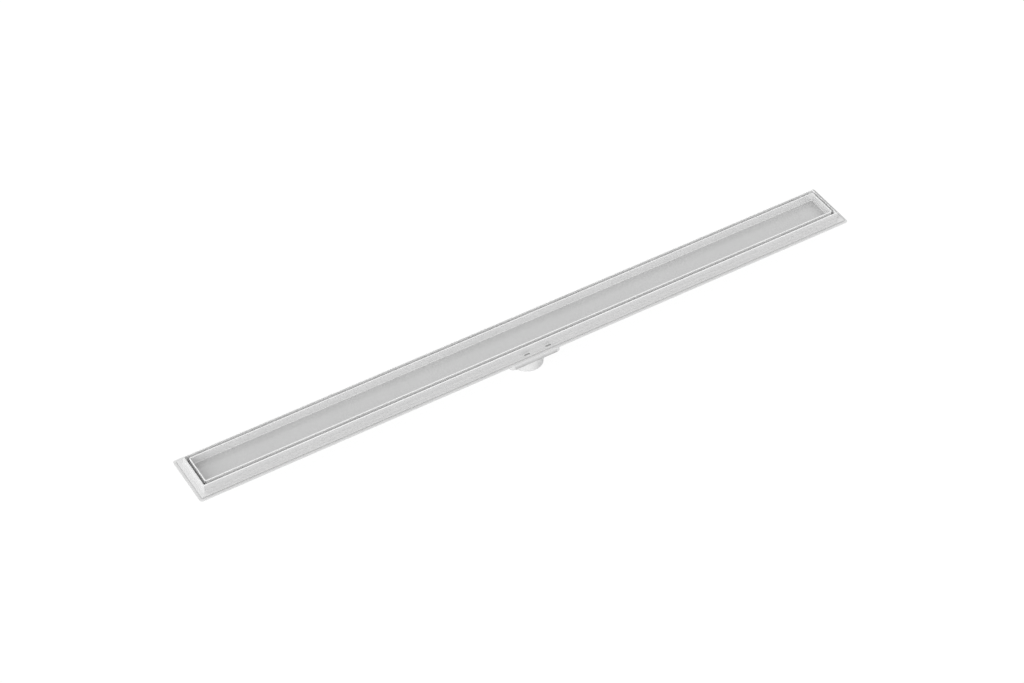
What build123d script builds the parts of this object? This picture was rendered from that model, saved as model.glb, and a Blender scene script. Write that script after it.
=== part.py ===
from build123d import *
import os

# A linear channel drain with a tile tray, in millimetres.
# X runs along the channel, Y across it and Z up. The origin is the centre of the
# outlet's lower end, so the rim of the frame lies at rim_z.

# Upright frame around the channel
frame_length = 1174.0
frame_width = 70.0
frame_height = 14.0
frame_sheet = 1.5
frame_bend = 2.5
ledge_reach = 8.8

# Slots beside the foot of the long frame walls, through ledge and flange
foot_slot_length = 10.4
foot_slot_width = 3.4
foot_slot_offset = 3.1
foot_slot_shift = 2.3
foot_slot_spacing = 39.2
foot_slot_count = 2

# Folded pan that carries the frame
pan_sheet = 1.5
pan_bend = 1.5
flange_reach = 13.0
flange_corner_radius = 4.0
trough_depth = 14.5

# Tile tray inside the frame
tray_sheet = 1.5
tray_depth = 15.0
tray_edge_bend = 1.0
tray_corner_bend = 1.5
side_slot = 5.75
end_slot = 4.7

# Folded supports under the tray
support_sheet = 1.5
support_bend = 1.5
support_count = 6
support_end_margin = 80.8
support_length = 30.0
support_top_width = 36.0
support_foot_clearance = 2.0

# Sump box under the trough
sump_sheet = 1.5
sump_length = 94.0
sump_width = 62.0
sump_height = 15.5
sump_corner_bend = 6.5
sump_edge_bend = 0.5

# Outlet spigot under the sump
spigot_diameter = 56.0
spigot_wall = 1.5
spigot_length = 22.0
spigot_chamfer = 0.6

# Hair strainer that drops into the outlet
strainer_sheet = 1.0
strainer_depth = 15.0
strainer_clearance = 0.8
strainer_rim_lap = 2.0
strainer_hole = 4.4
strainer_hole_rings = 2
strainer_hole_pitch = 8.6
strainer_slot_count = 12
strainer_slot_width = 4.0
strainer_slot_height = 8.0
handle_wire = 2.4
handle_height = 18.0
handle_bend = 9.0

# Levels, worked out from the outlet upwards
sump_bottom_z = spigot_length
sump_floor_z = sump_bottom_z + sump_sheet
trough_bottom_z = sump_bottom_z + sump_height
trough_floor_z = trough_bottom_z + pan_sheet
flange_top_z = trough_floor_z + trough_depth
ledge_top_z = flange_top_z + frame_sheet
rim_z = ledge_top_z + frame_height
tray_bottom_z = rim_z - tray_depth - tray_sheet

# The opening inside the frame, shared by the pan, the tray and the supports
inner_length = frame_length - 2 * frame_sheet
inner_width = frame_width - 2 * frame_sheet
bore_radius = spigot_diameter / 2 - spigot_wall
tray_length = inner_length - 2 * end_slot
tray_width = inner_width - 2 * side_slot


def folded_sheet(points, sheet, bend):
    """Section of a folded sheet along its middle line; bend is the inside radius."""
    path = FilletPolyline(*points, radius=bend + sheet / 2)
    return trace(path, line_width=sheet)


def run_along_x(section, length):
    """A section drawn in Y and Z, run along X about the middle."""
    return extrude(Plane.YZ * section, length / 2, both=True)


def plan_prism(*corners):
    """A prism over a plan outline, tall enough to cut every level."""
    outline = make_face(Polyline(*corners, close=True))
    return extrude(outline, rim_z)


def drawn_box(length, width, height, sheet, corner_bend, edge_bend):
    """An open sheet box with rounded corners, standing on Z = 0."""
    def block(shrink, bottom):
        outline = RectangleRounded(
            length - 2 * shrink, width - 2 * shrink, corner_bend + sheet - shrink
        )
        solid = extrude(Plane.XY.offset(bottom) * outline, height - bottom)
        lowest = solid.faces().sort_by(Axis.Z)[0]
        return fillet(lowest.edges(), edge_bend + sheet - shrink)
    return block(0, 0) - block(sheet, sheet)


def frame_side(run, half_width):
    """An angle with its wall at Y = -half_width, its ends cut at 45 degrees."""
    middle_y = -half_width + frame_sheet / 2
    ledge_y = -half_width - ledge_reach
    ledge_z = ledge_top_z - frame_sheet / 2
    section = folded_sheet(
        [(middle_y, rim_z), (middle_y, ledge_z), (ledge_y, ledge_z)], frame_sheet, frame_bend
    )
    outer = run / 2 + ledge_reach
    inset = frame_bend + 2 * frame_sheet
    mitre = plan_prism(
        (-outer, ledge_y),
        (outer, ledge_y),
        (run / 2 - inset, -half_width + inset),
        (-run / 2 + inset, -half_width + inset),
    )
    return run_along_x(section, 2 * outer) & mitre


def foot_slots():
    """A cutter for the slots in front of the frame, tall enough for every sheet."""
    outline = SlotOverall(foot_slot_length, foot_slot_width)
    slot = extrude(Plane.XY.offset(trough_floor_z) * outline, rim_z - trough_floor_z)
    slot_y = -frame_width / 2 - foot_slot_offset
    places = GridLocations(foot_slot_spacing, 0, foot_slot_count, 1)
    return Pos(-foot_slot_shift, slot_y, 0) * Compound(places * slot)


def long_frame_side():
    """The front angle, with its slots."""
    return frame_side(frame_length, frame_width / 2) - foot_slots()


def end_frame_side():
    """A short angle, still facing the front."""
    return frame_side(frame_width, frame_length / 2)


def flange_outline():
    """A prism over the flange's outer outline, with its rounded corners."""
    outline = RectangleRounded(
        frame_length + 2 * flange_reach, frame_width + 2 * flange_reach, flange_corner_radius
    )
    return extrude(outline, rim_z)


def channel_pan():
    """The long trough with its two flanges, folded from one sheet."""
    wall_y = inner_width / 2 + pan_sheet / 2
    edge_y = frame_width / 2 + flange_reach
    flange_z = flange_top_z - pan_sheet / 2
    floor_z = trough_floor_z - pan_sheet / 2
    points = [
        (-edge_y, flange_z),
        (-wall_y, flange_z),
        (-wall_y, floor_z),
        (wall_y, floor_z),
        (wall_y, flange_z),
        (edge_y, flange_z),
    ]
    butt_x = inner_length / 2
    corner_x = butt_x + pan_sheet
    corner_y = inner_width / 2 + pan_sheet
    edge_x = corner_x + edge_y - corner_y
    outline = plan_prism(
        (-butt_x, -corner_y),
        (-corner_x, -corner_y),
        (-edge_x, -edge_y),
        (edge_x, -edge_y),
        (corner_x, -corner_y),
        (butt_x, -corner_y),
        (butt_x, corner_y),
        (corner_x, corner_y),
        (edge_x, edge_y),
        (-edge_x, edge_y),
        (-corner_x, corner_y),
        (-butt_x, corner_y),
    )
    pan = run_along_x(folded_sheet(points, pan_sheet, pan_bend), 2 * edge_x)
    pan = pan & outline & flange_outline()
    hole = RectangleRounded(sump_length - 2 * sump_sheet, sump_width - 2 * sump_sheet, sump_corner_bend)
    pan -= extrude(Plane.XY.offset(sump_bottom_z) * hole, sump_height + 2 * pan_sheet)
    return pan - foot_slots() - Rot(0, 0, 180) * foot_slots()


def pan_end():
    """The wall and flange that close one end of the trough, still facing the front."""
    wall_y = -inner_length / 2 - pan_sheet / 2
    edge_y = -frame_length / 2 - flange_reach
    flange_z = flange_top_z - pan_sheet / 2
    section = folded_sheet(
        [(edge_y, flange_z), (wall_y, flange_z), (wall_y, trough_bottom_z)], pan_sheet, pan_bend
    )
    corner_x = inner_width / 2 + pan_sheet
    corner_y = -inner_length / 2 - pan_sheet
    edge_x = corner_x + corner_y - edge_y
    outline = plan_prism(
        (-corner_x, corner_y + pan_sheet),
        (-corner_x, corner_y),
        (-edge_x, edge_y),
        (edge_x, edge_y),
        (corner_x, corner_y),
        (corner_x, corner_y + pan_sheet),
    )
    end = run_along_x(section, 2 * edge_x) & outline & Rot(0, 0, 90) * flange_outline()
    lower_corners = end.edges().filter_by(Axis.Y).group_by(Axis.Z)[0]
    return fillet(lower_corners, pan_bend + pan_sheet)


def tile_tray():
    """The open tray for the tile, its rim level with the frame's."""
    tray = drawn_box(
        tray_length,
        tray_width,
        tray_depth + tray_sheet,
        tray_sheet,
        tray_corner_bend,
        tray_edge_bend,
    )
    return Pos(0, 0, tray_bottom_z) * tray


def tray_support():
    """A hat section across the trough: welded to the tray, standing on the floor."""
    top_z = tray_bottom_z - support_sheet / 2
    foot_z = trough_floor_z + support_sheet / 2
    leg_y = support_top_width / 2 - support_sheet / 2
    foot_y = inner_width / 2 - support_foot_clearance
    section = folded_sheet(
        [
            (-foot_y, foot_z),
            (-leg_y, foot_z),
            (-leg_y, top_z),
            (leg_y, top_z),
            (leg_y, foot_z),
            (foot_y, foot_z),
        ],
        support_sheet,
        support_bend,
    )
    return run_along_x(section, support_length)


def outlet_sump():
    """The box under the trough that leads the water to the outlet."""
    box = drawn_box(
        sump_length, sump_width, sump_height, sump_sheet, sump_corner_bend, sump_edge_bend
    )
    return Pos(0, 0, sump_bottom_z) * (box - Cylinder(bore_radius, 4 * sump_sheet))


def outlet_spigot():
    """The plain tube that goes into the waste pipe."""
    tube = extrude(Circle(spigot_diameter / 2) - Circle(bore_radius), spigot_length)
    lower_rim = tube.edges().filter_by(GeomType.CIRCLE).group_by(Axis.Z)[0].sort_by(SortBy.RADIUS)[-1]
    return chamfer(lower_rim, spigot_chamfer)


def strainer_basket():
    """A cup with a rim on the sump's floor and holes in its wall and bottom."""
    rim_radius = bore_radius + strainer_rim_lap
    cup_radius = bore_radius - strainer_clearance
    middle = strainer_sheet / 2
    rim_level = sump_floor_z + middle
    bottom_level = sump_floor_z - strainer_depth + middle
    section = folded_sheet(
        [
            (rim_radius, rim_level),
            (cup_radius - middle, rim_level),
            (cup_radius - middle, bottom_level),
            (0, bottom_level),
        ],
        strainer_sheet,
        strainer_clearance,
    )
    cup = revolve(Plane.XZ * section, Axis.Z)
    hole = Cylinder(strainer_hole / 2, 4 * strainer_sheet)
    cup -= Pos(0, 0, bottom_level) * hole
    for ring in range(1, strainer_hole_rings + 1):
        for place in PolarLocations(ring * strainer_hole_pitch, 6 * ring):
            cup -= Pos(0, 0, bottom_level) * place * hole
    slot = Box(4 * strainer_sheet, strainer_slot_width, strainer_slot_height)
    slot_level = (rim_level + bottom_level) / 2
    for place in PolarLocations(cup_radius - middle, strainer_slot_count):
        cup -= Pos(0, 0, slot_level) * place * slot
    return cup


def strainer_handle():
    """A wire bow on the strainer's rim, to lift it out by."""
    foot_x = bore_radius + strainer_rim_lap - handle_wire / 2
    foot_z = sump_floor_z + strainer_sheet
    path = FilletPolyline(
        (-foot_x, 0, foot_z),
        (-foot_x, 0, foot_z + handle_height),
        (foot_x, 0, foot_z + handle_height),
        (foot_x, 0, foot_z),
        radius=handle_bend,
    )
    section = Plane(origin=(-foot_x, 0, foot_z), z_dir=(0, 0, 1)) * Circle(handle_wire / 2)
    return sweep(section, path=path)


def all_nodes():
    """Every piece by its name, in place."""
    front = long_frame_side()
    end = end_frame_side()
    trough_end = pan_end()
    nodes = {
        "channel_pan": channel_pan(),
        "pan_end_left": Rot(0, 0, -90) * trough_end,
        "pan_end_right": Rot(0, 0, 90) * trough_end,
        "frame_front": front,
        "frame_back": Rot(0, 0, 180) * front,
        "frame_left": Rot(0, 0, -90) * end,
        "frame_right": Rot(0, 0, 90) * end,
        "tile_tray": tile_tray(),
        "outlet_sump": outlet_sump(),
        "outlet_spigot": outlet_spigot(),
        "strainer_basket": strainer_basket(),
        "strainer_handle": strainer_handle(),
    }
    support = tray_support()
    first = support_end_margin - tray_length / 2
    spacing = -2 * first / (support_count - 1)
    for index in range(support_count):
        nodes[f"tray_support_{index + 1}"] = Pos(first + index * spacing, 0, 0) * support
    return nodes


os.makedirs("parts", exist_ok=True)
for name, shape in all_nodes().items():
    export_step(shape, f"parts/{name}.step")
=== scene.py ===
import bpy
import bmesh
import math
from mathutils import Matrix, Vector


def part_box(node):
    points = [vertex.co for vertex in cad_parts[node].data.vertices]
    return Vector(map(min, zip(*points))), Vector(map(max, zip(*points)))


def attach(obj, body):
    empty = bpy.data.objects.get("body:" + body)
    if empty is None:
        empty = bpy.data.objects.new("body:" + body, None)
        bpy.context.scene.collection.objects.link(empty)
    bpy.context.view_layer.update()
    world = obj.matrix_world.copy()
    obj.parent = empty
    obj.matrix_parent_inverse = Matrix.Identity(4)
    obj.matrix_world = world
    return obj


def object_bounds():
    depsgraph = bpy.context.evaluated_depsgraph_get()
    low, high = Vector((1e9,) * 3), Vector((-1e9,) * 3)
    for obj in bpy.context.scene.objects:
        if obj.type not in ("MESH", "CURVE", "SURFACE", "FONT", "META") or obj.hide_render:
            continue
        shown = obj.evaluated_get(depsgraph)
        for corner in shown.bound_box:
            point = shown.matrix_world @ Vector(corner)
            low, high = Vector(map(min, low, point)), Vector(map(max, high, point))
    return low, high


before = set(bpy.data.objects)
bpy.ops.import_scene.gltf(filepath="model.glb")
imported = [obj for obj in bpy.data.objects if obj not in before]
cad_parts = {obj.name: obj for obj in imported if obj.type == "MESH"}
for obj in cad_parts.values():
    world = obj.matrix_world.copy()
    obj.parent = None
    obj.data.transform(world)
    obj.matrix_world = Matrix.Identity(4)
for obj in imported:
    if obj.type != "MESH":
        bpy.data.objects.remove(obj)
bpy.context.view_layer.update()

# The channel's own measures, in metres, read from the frame where it has them

tray_low, tray_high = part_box("tile_tray")
sump_low, sump_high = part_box("outlet_sump")
frame_low, frame_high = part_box("frame_front")
spigot_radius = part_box("outlet_spigot")[1].x
ledge_edge_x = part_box("frame_right")[1].x
ledge_edge_y = -frame_low.y
sheet = 0.0015
ledge_reach = 0.0088
foot_bend = 0.0025
wall_x = ledge_edge_x - ledge_reach
wall_y = ledge_edge_y - ledge_reach
trough_end_x = wall_x - sheet
rim_z = frame_high.z
ledge_top_z = frame_low.z + sheet
flange_under_z = frame_low.z - sheet
tray_floor_z = tray_low.z + sheet

# Slots beside the foot of the frame's long walls

slot_length = 0.0104
slot_spacing = 0.0392
slot_shift = 0.0023
slot_reach = 0.0055

# Margin for telling faces apart by their place

tiny = 0.0003

# Satin steel: grain, clouds and frost, and the edges that handling has polished, which are also painted
# towards a pale grey as a painted highlight

grain_along = 6.0
grain_across = 900.0
cloud_scale = 14.0
frost_scale = 2600.0
plain_shade = 0.955
cloud_shade = 0.05
grain_shade = 0.03
cloud_roughness = 0.06
grain_roughness = 0.08
grain_height = 0.6
frost_height = 0.4
steel_bump = 0.02
bump_distance = 0.0002
edge_radius = 0.0006
# The edges' pale grey and how much of it they get: a painted highlight
edge_highlight_grey = 0.8
edge_highlight_share = 0.3
edge_polish = 0.12
edge_starts_at = 0.995
edge_full_at = 0.85

# How far along the tray's floor the painted shade at its ends reaches

floor_end_shade_reach = 0.022

# Weld beads

bead_radius = 0.0010
bead_sides = 8
bead_step = 0.0004
bead_ripple = 0.0014
bead_ripple_depth = 0.12
sump_corner = 0.008
trough_corner = 0.003
weld_patch_scale = 160.0
weld_grit_scale = 3000.0
weld_bump = 0.2
weld_grey = (0.42, 0.41, 0.40)
weld_straw = (0.50, 0.44, 0.34)
weld_blue = (0.36, 0.38, 0.44)

# Camera, as it stood when the picture was taken

image_width = 1024
camera_focal_px = 2535.44
camera_sensor_mm = 36.0
camera_elevation_deg = 44.529
camera_azimuth_deg = 31.335
camera_roll_deg = -0.097
camera_distance = 4.0211
camera_shift_right = -0.02278
camera_shift_up = -0.02025

# Light and surroundings

sky_level = 1.02
sky_left_gain = 0.82
low_sun_strength = 1.25
low_sun_towards = (0.93, 0.26, -0.26)
low_sun_spread_deg = 30.0
floor_size = 30.0
floor_grey = 0.85
floor_white_share = 0.93
floor_glow = 1.03


class Level:
    """A number that varies over a surface, with the usual arithmetic."""

    def __init__(self, shader, socket):
        self.shader = shader
        self.socket = socket

    def maths(self, operation, first, second):
        inputs = {0: first, 1: second}
        return self.shader.node("ShaderNodeMath", {"operation": operation}, inputs)

    def __add__(self, other):
        return self.maths("ADD", self, other)

    def __radd__(self, other):
        return self.maths("ADD", other, self)

    def __sub__(self, other):
        return self.maths("SUBTRACT", self, other)

    def __rsub__(self, other):
        return self.maths("SUBTRACT", other, self)

    def __mul__(self, other):
        return self.maths("MULTIPLY", self, other)

    def __rmul__(self, other):
        return self.maths("MULTIPLY", other, self)

    def __truediv__(self, other):
        return self.maths("DIVIDE", self, other)

    def __gt__(self, other):
        return self.maths("GREATER_THAN", self, other)

    def __lt__(self, other):
        return self.maths("LESS_THAN", self, other)

    def __abs__(self):
        return self.maths("ABSOLUTE", self, 0.0)

    def at_least(self, other):
        return self.maths("MAXIMUM", self, other)

    def at_most(self, other):
        return self.maths("MINIMUM", self, other)


class Shader:
    """The node tree of one material or of the world."""

    def __init__(self, tree):
        self.tree = tree
        tree.nodes.clear()

    def node(self, kind, settings=None, inputs=None, output=0):
        """Adds a node, sets it up and returns one of its outputs, by its name or number."""
        made = self.tree.nodes.new(kind)
        for name, value in (settings or {}).items():
            if name == "stops":
                set_stops(made.color_ramp.elements, value)
            else:
                setattr(made, name, value)
        for name, value in (inputs or {}).items():
            if isinstance(value, Level):
                self.tree.links.new(value.socket, made.inputs[name])
            else:
                made.inputs[name].default_value = value
        return Level(self, made.outputs[output]) if made.outputs else None

    def mix(self, factor, first, second, blend="MIX"):
        """Blends two colours or greys. A Mix node's sockets for colours are known by number."""
        settings = {"data_type": "RGBA", "blend_type": blend}
        inputs = {0: factor, 6: paint(first), 7: paint(second)}
        return self.node("ShaderNodeMix", settings, inputs, output=2)

    def noise(self, place, scale, detail):
        inputs = {"Vector": place, "Scale": scale, "Detail": detail}
        return self.node("ShaderNodeTexNoise", inputs=inputs)

    def parts(self, vector):
        """The x, y and z of a vector."""
        inputs = {"Vector": vector}
        return [self.node("ShaderNodeSeparateXYZ", inputs=inputs, output=axis) for axis in "XYZ"]


def paint(value):
    """A grey or a colour as a socket takes it. What varies over the surface stays as it is."""
    if isinstance(value, Level):
        return value
    if isinstance(value, tuple):
        return (*value, 1)
    return (value, value, value, 1)


def set_stops(elements, stops):
    """Sets the places and colours of a colour ramp."""
    while len(elements) < len(stops):
        elements.new(0.5)
    for element, (place, colour) in zip(elements, stops):
        element.position = place
        element.color = paint(colour)


def new_material(name):
    material = bpy.data.materials.new(name)
    material.use_nodes = True
    return material, Shader(material.node_tree)


def place_on(shader):
    """The place on a piece, in the shared frame."""
    return shader.node("ShaderNodeTexCoord", output="Object")


def seen_directly(shader):
    """1 for the rays that show the surroundings: from the camera, mirrored or through glass."""
    outputs = ("Is Camera Ray", "Is Glossy Ray", "Is Transmission Ray")
    camera, mirrored, refracted = (shader.node("ShaderNodeLightPath", output=name) for name in outputs)
    return camera.at_least(mirrored).at_least(refracted)


def highlighted_and_polished_edges(shader):
    """Near 1 where the sheet's edges are, and 0 on its flat faces. The edges it picks out are made
    smoother and painted paler, a painted highlight.
    """
    rounded = shader.node("ShaderNodeBevel", {"samples": 4}, {"Radius": edge_radius})
    plain = shader.node("ShaderNodeNewGeometry", output="True Normal")
    inputs = {0: rounded, 1: plain}
    agreement = shader.node("ShaderNodeVectorMath", {"operation": "DOT_PRODUCT"}, inputs, "Value")
    return shader.node("ShaderNodeMapRange", inputs={
        "Value": agreement,
        "From Min": edge_starts_at,
        "From Max": edge_full_at,
        "To Min": 0.0,
        "To Max": 1.0,
    })


def satin_steel(name, grain_run, grey, roughness=0.30, metallic=0.35, areas=(), matt_area=None):
    """Stainless sheet: a fine directional grain, faint clouds and slightly polished edges, which are
    also painted paler as a painted highlight.

    Each area is a function that picks out some faces by their place, and their grey.
    The faces of the matt area have no sheen.
    """
    material, shader = new_material(name)
    place = place_on(shader)
    x, y, z = shader.parts(place)
    along = shader.node("ShaderNodeMapping", inputs={"Vector": place, "Scale": grain_run})
    grain = shader.noise(along, 1.0, 3.0)
    clouds = shader.noise(place, cloud_scale, 4.0)
    frost = shader.noise(place, frost_scale, 2.0)
    edge = highlighted_and_polished_edges(shader)
    # The edges are painted towards a pale grey: a painted highlight.
    tone = shader.mix(edge_highlight_share * edge, grey, edge_highlight_grey)
    for area, area_grey in areas:
        tone = shader.mix(area(x, y, z), tone, area_grey)
    shade = plain_shade + cloud_shade * clouds + grain_shade * grain
    sheen = metallic * (1 - matt_area(x, y, z)) if matt_area else metallic
    normal = shader.node("ShaderNodeBump", inputs={
        "Strength": steel_bump,
        "Distance": bump_distance,
        "Height": grain_height * grain + frost_height * frost,
    })
    surface = shader.node("ShaderNodeBsdfPrincipled", inputs={
        "Base Color": shader.mix(1.0, tone, shade, "MULTIPLY"),
        "Metallic": sheen,
        "Roughness": roughness + grain_roughness * grain + cloud_roughness * clouds - edge_polish * edge,
        "Normal": normal,
    })
    shader.node("ShaderNodeOutputMaterial", inputs={"Surface": surface})
    return material


def weld_steel():
    """Weld metal, a little rough, with straw and blue heat tints."""
    material, shader = new_material("weld_tinted")
    place = place_on(shader)
    patches = shader.noise(place, weld_patch_scale, 3.0)
    grit = shader.noise(place, weld_grit_scale, 2.0)
    stops = ((0.35, weld_grey), (0.5, weld_straw), (0.65, weld_blue))
    normal = shader.node("ShaderNodeBump", inputs={
        "Strength": weld_bump,
        "Distance": bump_distance,
        "Height": grit,
    })
    surface = shader.node("ShaderNodeBsdfPrincipled", inputs={
        "Base Color": shader.node("ShaderNodeValToRGB", {"stops": stops}, {"Fac": patches}),
        "Metallic": 0.8,
        "Roughness": 0.35 + 0.15 * grit,
        "Normal": normal,
    })
    shader.node("ShaderNodeOutputMaterial", inputs={"Surface": surface})
    return material


def at_rim(x, y, z):
    """The cut edge on top of the frame and the tray."""
    return z > rim_z - tiny


def painted_shade_at_right_rim(x, y, z):
    """The cut edge on top of the frame's right end, darkened as painted shade."""
    return at_rim(x, y, z) * (x > 0.0)


def inside_frame(x, y, z):
    """The frame's inner faces, which look into the gap round the tray."""
    return (abs(x) < wall_x - sheet + tiny) * (abs(y) < wall_y - sheet + tiny)


def inside_trough_painted_light(x, y, z):
    """The faces that hold the water, painted paler as painted light."""
    return inside_frame(x, y, z) * (z > sump_high.z + sheet / 2)


def painted_shade_at_foot_bend(x, y, z):
    """The bend between the frame's wall and its ledge, darkened as painted shade."""
    beyond_wall = (abs(x) > wall_x + tiny).at_least(abs(y) > wall_y + tiny)
    above_ledge = (z > ledge_top_z + tiny) * (z < ledge_top_z + foot_bend)
    return beyond_wall * above_ledge


def painted_shade_at_ledge_edge(x, y, z):
    """The sheared edge of the frame's ledge, darkened as painted shade for the crease under it."""
    return (abs(x) > ledge_edge_x - tiny).at_least(abs(y) > ledge_edge_y - tiny)


def painted_shade_in_foot_slots(x, y, z):
    """The cut faces of the slots, painted dark as painted shade. Those at the back are the front's,
    turned half round.
    """
    along = x * (1 - 2 * (y > 0.0)) + slot_shift
    from_slot = abs(abs(along) - slot_spacing / 2)
    beside_wall = (abs(y) > wall_y + tiny) * (abs(y) < wall_y + slot_reach)
    inside_sheets = (z > flange_under_z + tiny / 2) * (z < ledge_top_z - tiny / 2)
    return (from_slot < slot_length / 2 + tiny) * beside_wall * inside_sheets


def outside_tray(x, y, z):
    """The tray's outer faces, which look into the gap."""
    return (abs(x) > tray_high.x - tiny).at_least(abs(y) > tray_high.y - tiny)


def in_tray_ends(x, y, z):
    """The tray's short walls, seen from inside."""
    return abs(x) > tray_high.x - sheet - tiny


def on_tray_floor(x, y, z):
    """The tray's floor, where the tile is bedded."""
    return z < tray_floor_z + tiny


def painted_shade_at_tray_floor_ends(x, y, z):
    """The ends of the tray's floor, darkened as painted shade, fading from the walls."""
    from_end_wall = tray_high.x - sheet - abs(x)
    return on_tray_floor(x, y, z) * (1 - from_end_wall / floor_end_shade_reach).at_least(0.0)


def painted_shade_on_lower_sump(x, y, z):
    """The lower part of the sump's long walls, darkened towards the bottom as painted shade."""
    height = sump_high.z - sump_low.z
    fading = (1.3 - 2 * (z - sump_low.z) / height).at_least(0.0).at_most(1.0)
    return fading * (abs(x) < sump_high.x - sump_corner)


def dress(material, *names):
    """Puts one finish on each named CAD node."""
    for name in names:
        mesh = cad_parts[name].data
        mesh.materials.clear()
        mesh.materials.append(material)


def dress_frame(along_x, along_y):
    """The long walls and the end walls, which come from different strips."""
    long_areas = [
        # painted light: the frame's faces in the gap are paler, lifting the gap's shade
        (inside_frame, 0.87),
        # painted shade in the bend at the wall's foot
        (painted_shade_at_foot_bend, 0.60),
        # painted shade on the ledge's edge, for the crease under it
        (painted_shade_at_ledge_edge, 0.56),
        # painted shade in the slots
        (painted_shade_in_foot_slots, 0.36),
        # painted highlight on the rim
        (at_rim, 0.90),
    ]
    end_areas = [
        # painted light: the frame's faces in the gap are paler, lifting the gap's shade
        (inside_frame, 0.82),
        # painted shade in the bend at the wall's foot
        (painted_shade_at_foot_bend, 0.56),
        # painted shade on the ledge's edge, for the crease under it
        (painted_shade_at_ledge_edge, 0.42),
        # painted shade on the right end's rim
        (painted_shade_at_right_rim, 0.40),
    ]
    long_finish = satin_steel(
        "frame_long_satin", along_x, 0.70, areas=long_areas, matt_area=inside_frame
    )
    end_finish = satin_steel(
        "frame_end_satin", along_y, 0.68, areas=end_areas, matt_area=inside_frame
    )
    dress(long_finish, "frame_front", "frame_back")
    dress(end_finish, "frame_left", "frame_right")


def dress_pan(along_x, along_y):
    """The trough and its ends. Their insides are painted paler as painted light."""
    # The faces seen through the slots carry painted shade.
    long_areas = [(inside_trough_painted_light, 0.92), (painted_shade_in_foot_slots, 0.36)]
    end_areas = [(inside_trough_painted_light, 0.92)]
    dress(satin_steel("pan_satin", along_x, 0.69, areas=long_areas), "channel_pan")
    end_finish = satin_steel("pan_end_satin", along_y, 0.64, areas=end_areas)
    dress(end_finish, "pan_end_left", "pan_end_right")


def dress_tray(along_x, along_y):
    """The tray, smoother than the frame, and the supports under it."""
    areas = [
        (in_tray_ends, 0.72),
        (outside_tray, 0.78),
        # painted shade: the floor is darker than the walls
        (on_tray_floor, 0.55),
        # more painted shade at the floor's ends, by the end walls
        (painted_shade_at_tray_floor_ends, 0.46),
        # painted highlight: the rim is paler than the floor
        (at_rim, 0.87),
    ]
    finish = satin_steel("tray_satin", along_x, 0.92, 0.14, 0.45, areas, outside_tray)
    dress(finish, "tile_tray")
    supports = [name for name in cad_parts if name.startswith("tray_support")]
    dress(satin_steel("support_satin", along_y, 0.60, 0.35, 0.50), *supports)


def dress_outlet(along_x, upright):
    """The sump, the spigot and the strainer in them."""
    # painted shade on the sump's lower walls
    sump_areas = [(painted_shade_on_lower_sump, 0.50)]
    dress(satin_steel("sump_satin", along_x, 0.76, 0.30, 0.30, sump_areas), "outlet_sump")
    dress(satin_steel("spigot_satin", upright, 0.75, 0.40, 0.05), "outlet_spigot")
    strainer_finish = satin_steel("strainer_bright", upright, 0.62, 0.22, 0.80)
    dress(strainer_finish, "strainer_basket", "strainer_handle")


def dress_everything():
    """Gives each CAD node its finish, with the grain along the sheet it was folded from."""
    along_x = (grain_along, grain_across, grain_across)
    along_y = (grain_across, grain_along, grain_across)
    upright = (grain_across, grain_across, grain_along)
    dress_frame(along_x, along_y)
    dress_pan(along_x, along_y)
    dress_tray(along_x, along_y)
    dress_outlet(along_x, upright)


def quarter_arc(centre, radius, start_deg, across, up):
    """Points round a quarter circle in the plane of two directions, about a bead's step apart."""
    steps = max(2, round(radius * math.pi / 2 / bead_step))
    points = []
    for step in range(steps + 1):
        angle = math.radians(start_deg + 90 * step / steps)
        points.append(centre + radius * (math.cos(angle) * across + math.sin(angle) * up))
    return points


def spaced(points):
    """The same line with points a bead's step apart or nearer, and none of them twice."""
    same_place = 0.01
    filled = []
    for first, second in zip(points, points[1:]):
        pieces = math.ceil((second - first).length / bead_step - same_place)
        filled += [first.lerp(second, piece / pieces) for piece in range(pieces)]
    return filled + points[-1:]


def rounded_rectangle(length, width, corner, z):
    """The closed line round a rectangle with rounded corners."""
    points = []
    for side_x, side_y, start_deg in ((1, 1, 0), (-1, 1, 90), (-1, -1, 180), (1, -1, 270)):
        centre = Vector((side_x * (length / 2 - corner), side_y * (width / 2 - corner), z))
        points += quarter_arc(centre, corner, start_deg, Vector((1, 0, 0)), Vector((0, 1, 0)))
    return spaced(points + points[:1])[:-1]


def trough_end_seam(x):
    """The line round the outside of the trough at one end, from flange to flange."""
    points = [Vector((x, -wall_y, flange_under_z))]
    for side_y, start_deg in ((-1, 180), (1, 270)):
        centre = Vector((x, side_y * (wall_y - trough_corner), sump_high.z + trough_corner))
        points += quarter_arc(centre, trough_corner, start_deg, Vector((0, 1, 0)), Vector((0, 0, 1)))
    points.append(Vector((x, wall_y, flange_under_z)))
    return spaced(points)


def stations(path, closed):
    """Each point of a line, the way the line runs there and how far along it the point is."""
    before = path[-1:] + path[:-1] if closed else path[:1] + path[:-1]
    after = path[1:] + path[:1] if closed else path[1:] + path[-1:]
    walked = 0.0
    for index, (point, behind, ahead) in enumerate(zip(path, before, after)):
        if index > 0:
            walked += (point - behind).length
        yield point, ahead - behind, walked


def ring_edges(mesh, ring):
    """The edges that join one ring's own corners."""
    return [mesh.edges.get(pair) for pair in zip(ring, ring[1:] + ring[:1])]


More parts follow.
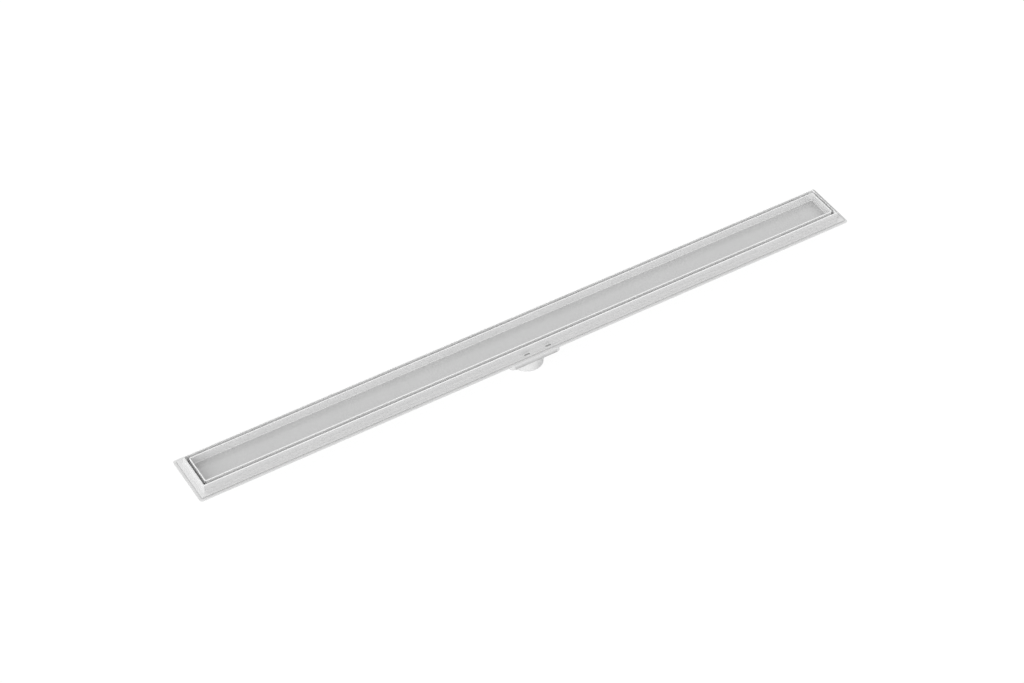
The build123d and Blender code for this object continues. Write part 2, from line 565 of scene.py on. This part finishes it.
def weld_bead(name, path, closed, finish):
    """A rippled bead of weld metal along a line, riding on the channel."""
    mesh = bmesh.new()
    rings = []
    for point, direction, walked in stations(path, closed):
        ripple = math.cos(2 * math.pi * walked / bead_ripple)
        radius = bead_radius * (1 - bead_ripple_depth + bead_ripple_depth * ripple)
        turn = direction.to_track_quat("Z", "Y").to_matrix().to_4x4()
        ring = bmesh.ops.create_circle(
            mesh, segments=bead_sides, radius=radius, matrix=Matrix.Translation(point) @ turn
        )
        rings.append(ring["verts"])
    loops = [ring_edges(mesh, ring) for ring in rings]
    if closed:
        loops.append(loops[0])
    else:
        mesh.faces.new(rings[0])
        mesh.faces.new(rings[-1])
    for first, second in zip(loops, loops[1:]):
        bmesh.ops.bridge_loops(mesh, edges=first + second)
    bmesh.ops.recalc_face_normals(mesh, faces=mesh.faces)
    for face in mesh.faces:
        face.smooth = True
    bead = finished_object(name, mesh)
    bead.data.materials.append(finish)
    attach(bead, "root")


def make_welds():
    """The beads that hold the outlet and the trough's ends."""
    finish = weld_steel()
    spigot_path = rounded_rectangle(2 * spigot_radius, 2 * spigot_radius, spigot_radius, sump_low.z)
    weld_bead("weld_spigot", spigot_path, True, finish)
    sump_length = sump_high.x - sump_low.x
    sump_width = sump_high.y - sump_low.y
    sump_path = rounded_rectangle(sump_length, sump_width, sump_corner, sump_high.z)
    weld_bead("weld_sump", sump_path, True, finish)
    for side, x in (("left", -trough_end_x), ("right", trough_end_x)):
        weld_bead(f"weld_trough_{side}", trough_end_seam(x), False, finish)


def finished_object(name, mesh):
    """Turns a bmesh into an object at the origin."""
    data = bpy.data.meshes.new(name)
    mesh.to_mesh(data)
    mesh.free()
    made = bpy.data.objects.new(name, data)
    bpy.context.scene.collection.objects.link(made)
    return made


def make_camera():
    """Sets the camera by its angles about the middle of the rim."""
    elevation = math.radians(camera_elevation_deg)
    azimuth = math.radians(camera_azimuth_deg)
    roll = math.radians(camera_roll_deg)
    ahead = Vector((
        math.sin(azimuth) * math.cos(elevation),
        math.cos(azimuth) * math.cos(elevation),
        -math.sin(elevation),
    ))
    level_right = Vector((math.cos(azimuth), -math.sin(azimuth), 0))
    level_up = level_right.cross(ahead)
    right = math.cos(roll) * level_right + math.sin(roll) * level_up
    up = math.cos(roll) * level_up - math.sin(roll) * level_right
    aim = Vector((0, 0, rim_z)) + camera_shift_right * level_right + camera_shift_up * level_up
    data = bpy.data.cameras.new("camera")
    data.sensor_width = camera_sensor_mm
    data.lens = camera_focal_px / image_width * camera_sensor_mm
    camera = bpy.data.objects.new("camera", data)
    bpy.context.scene.collection.objects.link(camera)
    turn = Matrix((right, up, -ahead)).transposed()
    camera.matrix_world = Matrix.Translation(aim - camera_distance * ahead) @ turn.to_4x4()
    bpy.context.scene.camera = camera


def make_world():
    """A soft light, stronger from the left. The camera and the reflections see plain white."""
    world = bpy.data.worlds.new("studio")
    world.use_nodes = True
    bpy.context.scene.world = world
    shader = Shader(world.node_tree)
    direction = shader.node("ShaderNodeTexCoord", output="Generated")
    rightwards = shader.parts(direction)[0]
    seen = seen_directly(shader)
    strength = seen + (1 - seen) * (sky_level - sky_left_gain * rightwards)
    inputs = {"Color": paint(1.0), "Strength": strength}
    background = shader.node("ShaderNodeBackground", inputs=inputs)
    shader.node("ShaderNodeOutputWorld", inputs={"Surface": background})


def make_low_sun():
    """A distant lamp from the left with a soft edge, left out of reflections."""
    data = bpy.data.lights.new("low_sun", "SUN")
    data.energy = low_sun_strength
    data.angle = math.radians(low_sun_spread_deg)
    sun = bpy.data.objects.new("low_sun", data)
    bpy.context.scene.collection.objects.link(sun)
    sun.rotation_euler = Vector(low_sun_towards).to_track_quat("-Z", "Y").to_euler()
    sun.visible_glossy = False


def make_floor():
    """A plain white floor under the spigot, which keeps a faint shadow.

    It is clear from below, and inside the spigot's bore, where light comes up as from a pipe.
    """
    mesh = bmesh.new()
    bmesh.ops.create_grid(mesh, x_segments=1, y_segments=1, size=floor_size / 2)
    bmesh.ops.translate(mesh, verts=mesh.verts, vec=(0, 0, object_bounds()[0].z))
    floor = finished_object("floor", mesh)
    material, shader = new_material("floor_white")
    x, y = shader.parts(place_on(shader))[:2]
    matte = shader.node("ShaderNodeBsdfDiffuse", inputs={"Color": paint(floor_grey)})
    white = shader.node("ShaderNodeEmission", inputs={"Color": paint(1.0), "Strength": floor_glow})
    clear = shader.node("ShaderNodeBsdfTransparent")
    whiteness = floor_white_share * seen_directly(shader)
    top = shader.node("ShaderNodeMixShader", inputs={0: whiteness, 1: matte, 2: white})
    underneath = shader.node("ShaderNodeNewGeometry", output="Backfacing")
    in_bore = x * x + y * y < (spigot_radius - sheet) ** 2
    clearness = underneath.at_least(in_bore)
    surface = shader.node("ShaderNodeMixShader", inputs={0: clearness, 1: top, 2: clear})
    shader.node("ShaderNodeOutputMaterial", inputs={"Surface": surface})
    floor.data.materials.append(material)


make_camera()
make_world()
make_low_sun()
make_floor()
dress_everything()
make_welds()
bpy.context.scene.view_settings.view_transform = "Standard"
